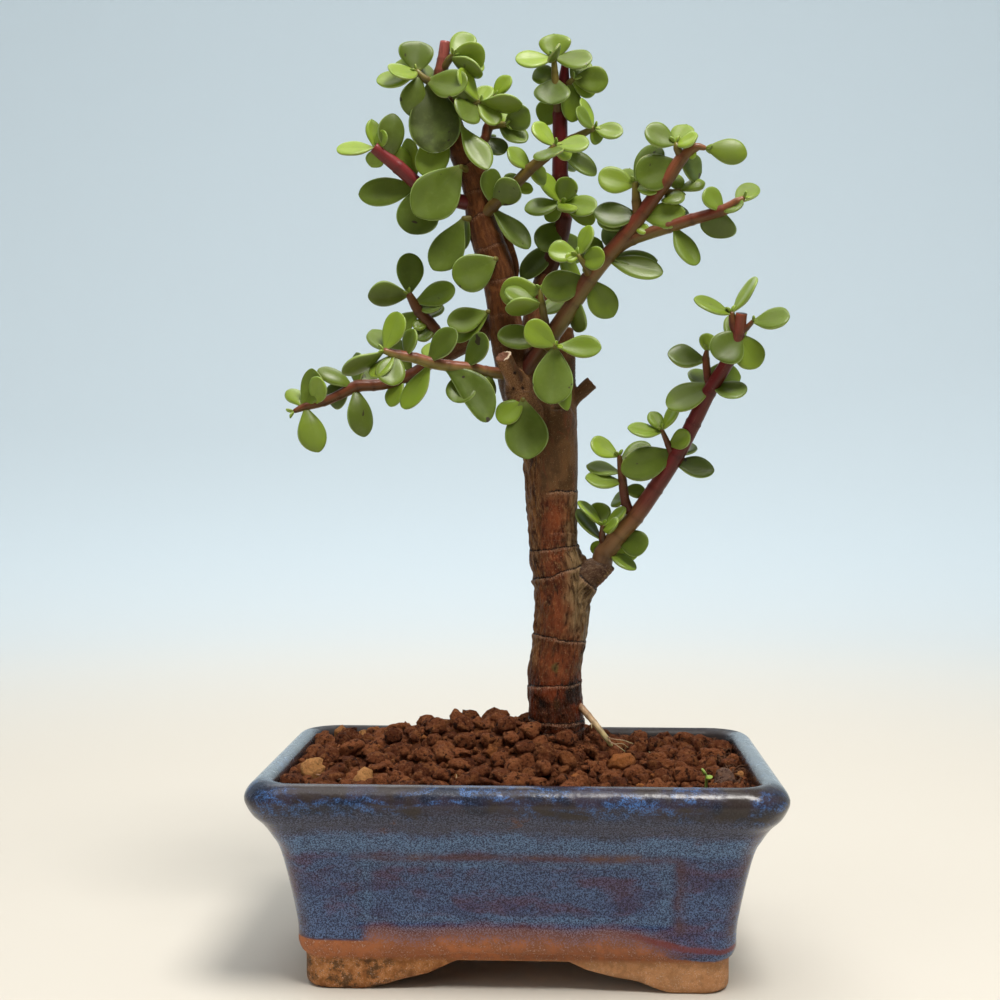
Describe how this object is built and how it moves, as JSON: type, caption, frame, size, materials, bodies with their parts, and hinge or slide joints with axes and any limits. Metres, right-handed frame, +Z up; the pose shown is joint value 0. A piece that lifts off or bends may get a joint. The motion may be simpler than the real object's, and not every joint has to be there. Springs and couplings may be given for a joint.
{
  "type": "potted bonsai",
  "caption": "Small dwarf jade tree with a stout leaning trunk and fleshy oval leaves, growing in soil granules in a footed glazed rectangular pot.",
  "frame": {"origin": "middle of the pot on the surface that its feet stand on", "axes": "+Z up along the trunk; X along the pot's long side, the low branch on +X; the pot's front and the viewed side of the tree face -Y"},
  "size_m": [0.1846, 0.12, 0.3378],
  "materials": {
    "glazed_pot": "mottled blue glaze running to brown at the edges, over bare orange-brown clay feet",
    "soil_granules": "matt reddish-brown baked clay granules",
    "bark": "thin reddish-brown bark with fine cracks and scar rings",
    "root": "pale smooth aerial root",
    "leaf": "fleshy green leaves with a satin skin, on purple-red stems",
    "young_leaf": "light green fleshy seedling"
  },
  "bodies": {
    "root": {"pot": "glazed_pot", "soil": "soil_granules", "trunk": "bark", "aerial_root": "root", "seedling": "young_leaf", "shoot_low_right": "leaf", "shoot_right_upper": "leaf", "shoot_middle": "leaf", "shoot_inner": "leaf", "shoot_left_front": "leaf", "shoot_left_rear": "leaf", "shoot_left_middle": "leaf", "shoot_upper_left": "leaf", "shoot_top_left": "leaf", "shoot_top_middle": "leaf", "shoot_top_front": "leaf", "spur_top": "leaf", "spur_top_front": "leaf", "spur_upper_front": "leaf", "spur_upper_left": "leaf", "spur_front": "leaf", "spur_left": "leaf", "spur_low_front": "leaf", "spur_back": "leaf"}
  },
  "joints": []
}
